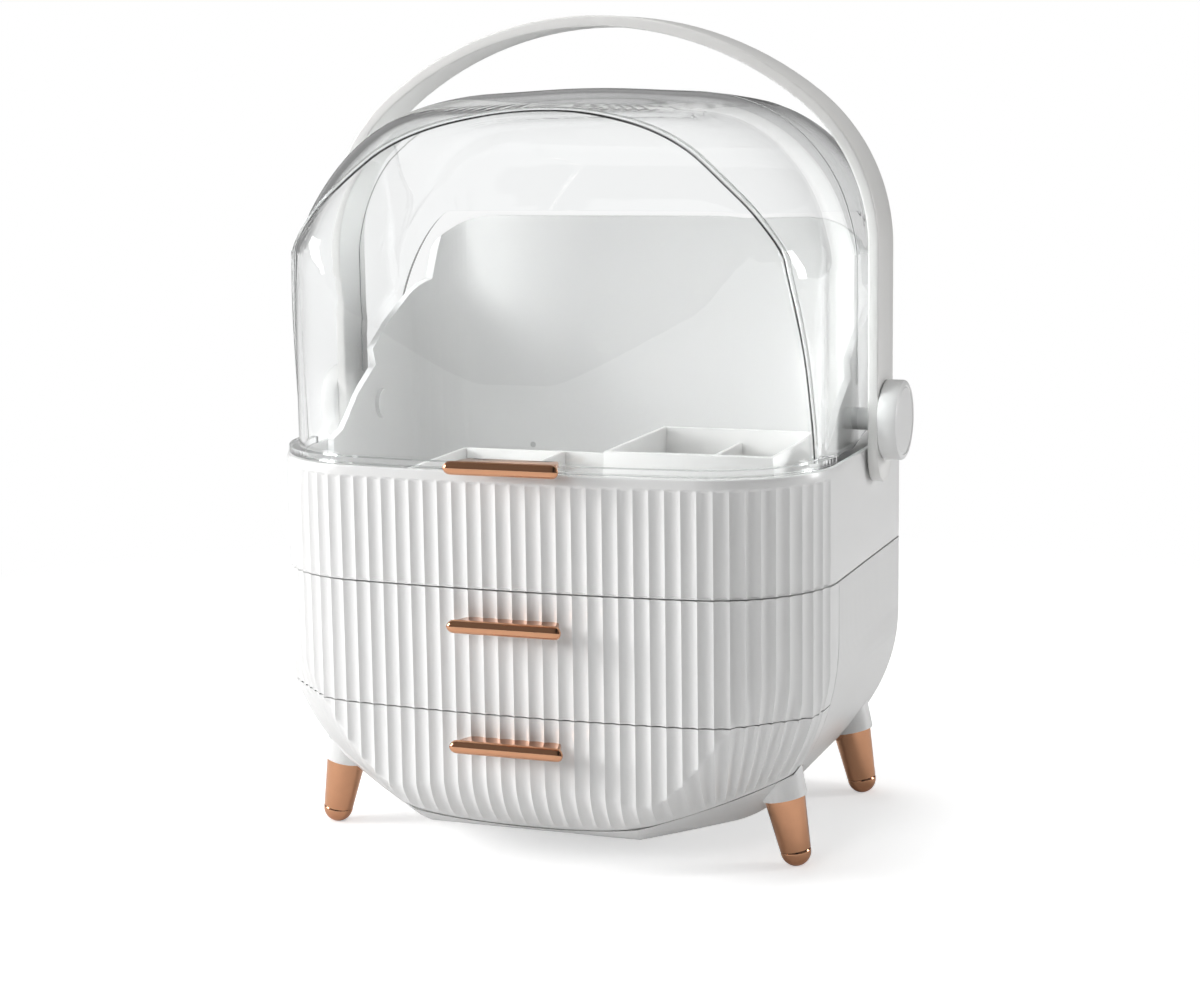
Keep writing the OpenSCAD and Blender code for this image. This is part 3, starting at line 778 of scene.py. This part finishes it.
# (distance out from the handle, radius): the rim, then a fine ring inside it
DISC_PROFILE = (
    (0, 4.0),
    (0, 16.9),
    (0.4, 17.7),
    (1.0, 18.0),
    (7.6, 18.0),
    (8.5, 17.6),
    (9.0, 16.7),
    (9.0, 15.6),
    (8.55, 15.2),
    (8.55, 14.8),
    (8.8, 14.4),
    (8.8, 5.0),
    (8.8, 0.4),
)


def make_disc(side):
    """A pivot cap: a shallow dish with a rounded rim and a fine ring."""
    name = "disc_right" if side > 0 else "disc_left"
    obj = revolve(name, DISC_PROFILE, (side * HANDLE_HALF, *PIVOT), (side, 0, 0), steps=72)
    return finish_piece(obj, "handle", GLOSS_WHITE, ("handle_" + name,))


make_disc(1)
make_disc(-1)

# ---------------------------------------------------------------- the clear lid
LID_INSET = 5.5
LID_HALF = HALF_W - LID_INSET
LID_BACK = BACK_Y - 0.6
LID_REAR_R = 28.0
LID_T = 2.4
LID_REACH = 260.0
LID_HEART = np.array([0.0, 5.0, 215.0])
# seen from the side: centre y, centre z and radius of the face, the roof, and the rounds between them and the back
LID_FACE = (219.0, 200.0, 300.0)
LID_ROOF = (35.0, -71.0, 408.0)
LID_BROW = (-28.5, 297.6, 34.0)
LID_NAPE = (64.5, 301.8, 34.0)
BROW_WAYS = (-247.5, 97.6), (-63.5, 368.6)
NAPE_WAYS = (29.5, 372.8), (1.0, 0.0)
# seen from the front: the arch, and the soft rise in the middle of the crown
ARCH_HALF = LID_HALF + 1.5
ARCH_R = 78.5
ARCH_CZ = 259.0
CROWN_LIFT = 4.0
CROWN_WIDE = 36.0
CROWN_DEEP = 30.0
CROWN_Y = 17.0
# what the lid keeps clear of the handle, and where its roundings are blended
HANDLE_CLEAR = HANDLE_T + 2.5
LID_SOFT = 5.0
SOFT_FROM_Z = 240.0
SOFT_OVER_Z = 40.0
# the lower edge: level along the front and sides, then up the shell's wings to the back
FOOT_Y = (-120, 10, 19, 49, 52, 96.0, 130)
FOOT_Z = (177.8, 177.8, 177.2, 183.2, 194.5, 278.2, 278.2)


def outside_box(across, along, radius):
    """How far a point lies outside a corner of the given radius, from its two distances past the corner's centre."""
    past = np.hypot(np.maximum(across, 0), np.maximum(along, 0))
    return past + np.minimum(np.maximum(across, along), 0) - radius


def outside_round(y, z, centre_y, centre_z, radius):
    return np.hypot(y - centre_y, z - centre_z) - radius


def outside_plan(x, y):
    """How far (x, y) lies outside the lid's outline seen from above."""
    x = np.abs(x)
    bow = np.hypot(x, y - BOW_CY) - (BOW_R - LID_INSET)
    corner = np.hypot(x - CORNER_X, y - CORNER_Y) - (CORNER_R - LID_INSET)
    front = np.where(np.arctan2(x, BOW_CY - y) > BOW_ANGLE, corner, bow)
    rear = outside_box(x - (LID_HALF - LID_REAR_R), y - (LID_BACK - LID_REAR_R), LID_REAR_R)
    return np.where(y < CORNER_Y, front, rear)


def outside_arch(x, z):
    """How far (x, z) lies outside the lid's arch seen from the front."""
    arch = outside_box(np.abs(x) - (ARCH_HALF - ARCH_R), z - ARCH_CZ, ARCH_R)
    return arch - CROWN_LIFT * np.exp(-((x / CROWN_WIDE) ** 2))


def outside_profile(y, z):
    """How far (y, z) lies outside the lid seen from the side."""
    face = outside_round(y, z, *LID_FACE)
    roof = outside_round(y, z, *LID_ROOF) - CROWN_LIFT * np.exp(-(((y - CROWN_Y) / CROWN_DEEP) ** 2))
    flat = np.maximum(np.maximum(face, roof), y - LID_BACK)

    def in_wedge(centre, ways):
        py, pz = y - centre[0], z - centre[1]
        (first_y, first_z), (second_y, second_z) = ways
        return (first_y * pz - first_z * py < 0) & (second_y * pz - second_z * py > 0)

    flat = np.where(in_wedge(LID_BROW, BROW_WAYS), outside_round(y, z, *LID_BROW), flat)
    return np.where(in_wedge(LID_NAPE, NAPE_WAYS), outside_round(y, z, *LID_NAPE) + 0.6, flat)


def outside_handle_sweep(x, y, z):
    """How far a point lies outside what the handle's underside clears as the lid turns."""
    r = np.hypot(y - PIVOT[0], z - PIVOT[1]) + PIVOT[1]
    corner = np.hypot(np.abs(x) - HANDLE_CX, r - HANDLE_CZ) - (HANDLE_R - HANDLE_CLEAR)
    crown = np.hypot(x, r - CROWN_CZ) - (CROWN_R - HANDLE_CLEAR)
    flat = np.abs(x) - (HANDLE_HALF - HANDLE_CLEAR)
    on_crown = np.arctan2(np.abs(x), r - CROWN_CZ) < CROWN_ANGLE
    return np.where(r < HANDLE_CZ, flat, np.where(on_crown, crown, corner))


def outside_lid(p):
    """How far points lie outside the lid, its roundings blended above the shoulders."""
    x, y, z = p[..., 0], p[..., 1], p[..., 2]
    parts = np.stack([outside_profile(y, z), outside_arch(x, z), outside_handle_sweep(x, y, z)])
    top = parts.max(axis=0)
    soft = LID_SOFT * np.log(np.exp((parts - top) / LID_SOFT).sum(axis=0))
    blended = top + soft * np.clip((z - SOFT_FROM_Z) / SOFT_OVER_Z, 0, 1)
    return np.maximum(blended, outside_plan(x, y))


def reach_to(is_outside, shape, limit=LID_REACH, rounds=34):
    """The distance at which rays leave the lid, by halving: is_outside tells it for an array of distances."""
    low, high = np.zeros(shape), np.full(shape, limit)
    for _ in range(rounds):
        middle = (low + high) / 2
        outside = is_outside(middle)
        high, low = np.where(outside, middle, high), np.where(outside, low, middle)
    return low


def lid_surface(ways):
    """The lid's outer skin along each way from its heart."""
    reach = reach_to(lambda d: outside_lid(LID_HEART + ways * d[..., None]) > 0, ways.shape[:-1])
    return LID_HEART + ways * reach[..., None]


def make_lid(cols=288, rows=64):
    """The dome: rings of points from its lower edge to the crown, given a wall."""
    azimuth = np.linspace(0, 2 * math.pi, cols, endpoint=False)
    level_x, level_y = np.sin(azimuth), -np.cos(azimuth)
    reach = reach_to(lambda d: outside_plan(level_x * d, LID_HEART[1] + level_y * d) > 0, cols)
    foot = np.interp(LID_HEART[1] + level_y * reach, FOOT_Y, FOOT_Z)
    low = np.arctan2(foot - LID_HEART[2], reach)
    share = np.linspace(0, 1, rows)[:-1] ** 0.9
    rise = low[None, :] + (math.pi / 2 - low[None, :]) * share[:, None]
    ways = np.stack([level_x[None, :] * np.cos(rise), level_y[None, :] * np.cos(rise), np.sin(rise)], axis=-1)
    points = [tuple(p) for row in lid_surface(ways) for p in row]
    points.append(tuple(lid_surface(np.array([[0.0, 0.0, 1.0]]))[0]))
    faces = grid_faces(rows - 1, cols, closed=True)
    last = (rows - 2) * cols
    faces += [(last + c, last + (c + 1) % cols, len(points) - 1) for c in range(cols)]
    obj = mesh_object("clear_lid", points, faces)
    settle(obj, recalc=True, sharp_degrees=60)
    if obj.data.polygons[0].normal.y > 0:
        obj.data.flip_normals()
    wall = obj.modifiers.new("wall", "SOLIDIFY")
    wall.thickness = LID_T * MM
    wall.offset = -1
    settle(obj, sharp_degrees=45)
    return finish_piece(obj, "lid", CLEAR, ("lid_dome",))


make_lid()

RIB_STEPS = 121
RIB_SINK = 0.7
FRONT_RIB_Z = 181.0
MIDDLE_RIB_Z = 205.0
MIDDLE_RIB_Y = 27.0
# where the front rib stands, from the sill (0 degrees) to the crown (90)
LEAN_TURN = (0, 24, 35, 47, 59, 71, 80, 90)
LEAN_Y = (-38, -47, -56, -61, -57, -50, -43, -37)


def rib_path(depth_at, low_z):
    """Points over the lid's skin, turning about (0, low_z) as seen from the front, at the depth for each turn."""
    path = []
    for a in np.linspace(0, math.pi, RIB_STEPS):
        depth = depth_at(min(a, math.pi - a))

        def leaves(d):
            return outside_lid(np.array([math.cos(a) * d, depth, low_z + math.sin(a) * d])) > 0

        reach = reach_to(leaves, (), limit=240.0, rounds=30) - RIB_SINK
        path.append((math.cos(a) * reach, depth, low_z + math.sin(a) * reach))
    return path


def front_lean(turn):
    """The depth of the lid's front rib at a turn, softened over a few degrees."""
    near = np.degrees(turn) + np.linspace(-8, 8, 9)
    return float(np.interp(90 - np.abs(90 - near), LEAN_TURN, LEAN_Y).mean())


front_rib = bead("lid_front_rib", rib_path(front_lean, FRONT_RIB_Z), 1.6)
finish_piece(front_rib, "lid", CLEAR)
middle_rib = bead("lid_middle_rib", rib_path(lambda turn: MIDDLE_RIB_Y, MIDDLE_RIB_Z), 0.8, sides=8)
finish_piece(middle_rib, "lid", CLEAR)


# ---------------------------------------------------------------- camera, floor and light
CAMERA_PLACE = (0.3883, -1.0357, 0.3385)
CAMERA_DOWN = 9.367
CAMERA_TURN = 20.46
CAMERA_LEAN = -0.864

camera_data = bpy.data.cameras.new("camera")
camera_data.sensor_width = 36.0
camera_data.lens = 73.54
camera_data.shift_x = 0.0124
camera_data.shift_y = -0.0041
camera = bpy.data.objects.new("camera", camera_data)
camera.location = CAMERA_PLACE
camera.rotation_euler = Euler((math.radians(90 - CAMERA_DOWN), 0, math.radians(CAMERA_TURN)), "XYZ")
camera.rotation_euler.rotate_axis("Z", math.radians(CAMERA_LEAN))
bpy.context.scene.collection.objects.link(camera)
bpy.context.scene.camera = camera


def floor_paper(name, colour, glow):
    """Pale paper that takes the object's shadow, lifted to white where the camera or glass looks at it."""
    material, nodes, links, shader = new_material(name)
    shader.inputs["Base Color"].default_value = (*colour, 1)
    shader.inputs["Roughness"].default_value = 0.9
    shader.inputs["Specular IOR Level"].default_value = 0.1
    path = nodes.new("ShaderNodeLightPath")
    first = nodes.new("ShaderNodeMath")
    first.operation = "MAXIMUM"
    links.new(path.outputs["Is Camera Ray"], first.inputs[0])
    links.new(path.outputs["Is Transmission Ray"], first.inputs[1])
    lift = nodes.new("ShaderNodeMath")
    lift.operation = "MULTIPLY"
    lift.inputs[1].default_value = glow
    links.new(first.outputs[0], lift.inputs[0])
    shader.inputs["Emission Color"].default_value = (1, 1, 1, 1)
    links.new(lift.outputs[0], shader.inputs["Emission Strength"])
    # away from the object the paper runs into the white backdrop
    place = nodes.new("ShaderNodeTexCoord")
    reach = nodes.new("ShaderNodeVectorMath")
    reach.operation = "LENGTH"
    links.new(place.outputs["Object"], reach.inputs[0])
    ramp = nodes.new("ShaderNodeMapRange")
    ramp.interpolation_type = "SMOOTHSTEP"
    ramp.inputs["From Min"].default_value = 0.3
    ramp.inputs["From Max"].default_value = 0.75
    links.new(reach.outputs["Value"], ramp.inputs["Value"])
    seen = nodes.new("ShaderNodeMath")
    seen.operation = "MULTIPLY"
    links.new(ramp.outputs["Result"], seen.inputs[0])
    links.new(first.outputs[0], seen.inputs[1])
    paper = nodes.new("ShaderNodeEmission")
    paper.inputs["Color"].default_value = (1, 1, 1, 1)
    mix = nodes.new("ShaderNodeMixShader")
    links.new(seen.outputs[0], mix.inputs["Fac"])
    links.new(shader.outputs["BSDF"], mix.inputs[1])
    links.new(paper.outputs["Emission"], mix.inputs[2])
    links.new(mix.outputs["Shader"], nodes["Material Output"].inputs["Surface"])
    return material


FLOOR_HALF = 6.0
FLOOR_Z = -0.0002
floor_mesh = bpy.data.meshes.new("floor")
floor_corners = [(x * FLOOR_HALF, y * FLOOR_HALF, FLOOR_Z) for x, y in ((-1, -1), (1, -1), (1, 1), (-1, 1))]
floor_mesh.from_pydata(floor_corners, [], [(0, 1, 2, 3)])
floor = bpy.data.objects.new("floor", floor_mesh)
floor_mesh.materials.append(floor_paper("floor_white", (0.85, 0.85, 0.85), 0.5))
bpy.context.scene.collection.objects.link(floor)


def studio_world():
    """A soft grey room, seen as white by the camera and, straight ahead, through the lid."""
    world = bpy.data.worlds.new("studio")
    world.use_nodes = True
    bpy.context.scene.world = world
    nodes, links = world.node_tree.nodes, world.node_tree.links
    background = nodes["Background"]
    background.inputs["Strength"].default_value = 0.24
    way = nodes.new("ShaderNodeTexCoord")
    split = nodes.new("ShaderNodeSeparateXYZ")
    links.new(way.outputs["Generated"], split.inputs["Vector"])

    # the room as gloss sees it: bright on the left, a dark band to the right of the middle
    room = nodes.new("ShaderNodeValToRGB")
    first, last = room.color_ramp.elements
    first.position, first.color = 0.0, (1, 1, 1, 1)
    last.position, last.color = 1.0, (0.5, 0.5, 0.5, 1)
    for position, grey in ((0.3, 0.85), (0.48, 0.6), (0.56, 0.08), (0.7, 0.08), (0.78, 0.6)):
        stop = room.color_ramp.elements.new(position)
        stop.color = (grey, grey, grey, 1)
    to_share = nodes.new("ShaderNodeMapRange")
    to_share.inputs["From Min"].default_value = -1.0
    links.new(split.outputs["X"], to_share.inputs["Value"])
    links.new(to_share.outputs["Result"], room.inputs["Fac"])
    links.new(room.outputs["Color"], background.inputs["Color"])

    # straight through the lid the backdrop is white; what the lid's edges bend away is darker, which draws them
    ahead = nodes.new("ShaderNodeVectorMath")
    ahead.operation = "DOT_PRODUCT"
    ahead.inputs[1].default_value = (-0.345, 0.924, -0.163)
    links.new(way.outputs["Generated"], ahead.inputs[0])
    straight = nodes.new("ShaderNodeMapRange")
    straight.inputs["From Min"].default_value = 0.90
    straight.inputs["From Max"].default_value = 0.975
    straight.inputs["To Min"].default_value = 0.3
    links.new(ahead.outputs["Value"], straight.inputs["Value"])
    ray = nodes.new("ShaderNodeLightPath")
    white = nodes.new("ShaderNodeMath")
    white.operation = "MAXIMUM"
    links.new(straight.outputs["Result"], white.inputs[0])
    links.new(ray.outputs["Is Camera Ray"], white.inputs[1])
    backdrop = nodes.new("ShaderNodeBackground")
    backdrop.inputs["Color"].default_value = (1, 1, 1, 1)
    links.new(white.outputs[0], backdrop.inputs["Strength"])

    seen = nodes.new("ShaderNodeMath")
    seen.operation = "MAXIMUM"
    links.new(ray.outputs["Is Camera Ray"], seen.inputs[0])
    links.new(ray.outputs["Is Transmission Ray"], seen.inputs[1])
    blend = nodes.new("ShaderNodeMixShader")
    links.new(seen.outputs[0], blend.inputs["Fac"])
    links.new(background.outputs[0], blend.inputs[1])
    links.new(backdrop.outputs[0], blend.inputs[2])
    links.new(blend.outputs[0], nodes["World Output"].inputs["Surface"])


studio_world()


def softbox(name, place, aim, size, power):
    lamp = bpy.data.lights.new(name, "AREA")
    lamp.shape = "RECTANGLE"
    lamp.size, lamp.size_y = size
    lamp.energy = power
    obj = bpy.data.objects.new(name, lamp)
    obj.location = place
    obj.rotation_euler = (Vector(aim) - Vector(place)).to_track_quat("-Z", "Y").to_euler()
    bpy.context.scene.collection.objects.link(obj)
    return obj


softbox("key", (-1.7, -0.75, 0.75), (0, 0, 0.16), (0.7, 0.9), 28)
front = softbox("front", (-0.5, -2.2, 1.2), (0, 0, 0.16), (0.8, 0.8), 12)
front.visible_glossy = front.visible_transmission = False
softbox("side", (2.0, 0.95, 0.55), (0.1, 0, 0.16), (0.4, 0.9), 20)
top = softbox("top", (-0.2, 0.2, 1.9), (0, 0, 0.2), (1.0, 1.0), 17)
top.visible_glossy = top.visible_transmission = False

bpy.context.scene.view_settings.view_transform = "Standard"
